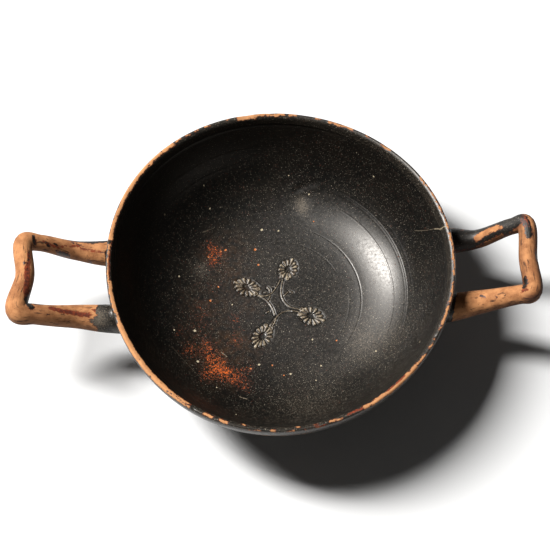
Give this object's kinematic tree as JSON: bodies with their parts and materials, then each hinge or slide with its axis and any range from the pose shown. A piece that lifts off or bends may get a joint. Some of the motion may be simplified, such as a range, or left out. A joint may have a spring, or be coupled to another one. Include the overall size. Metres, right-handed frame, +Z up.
{
  "type": "stemless kylix",
  "caption": "Shallow black-gloss drinking cup on a low ring foot, with a stamped floor and two horizontal handles, its rim and handles worn down to the orange clay.",
  "frame": {"origin": "on the standing plane, under the middle of the cup's whole length and width, handles included; the bowl's own axis stands 3 mm to +X and 0.6 mm to +Y of it, because one handle reaches further than the other", "axes": "+X along the handles, +Y towards the back of the cup, +Z up out of the bowl"},
  "size_m": [0.229, 0.1502, 0.0533],
  "materials": {
    "black_gloss": "black clay slip fired to a soft gloss over orange clay, worn through along the rim and handles"
  },
  "bodies": {
    "root": {"kylix": "black_gloss"}
  },
  "joints": []
}
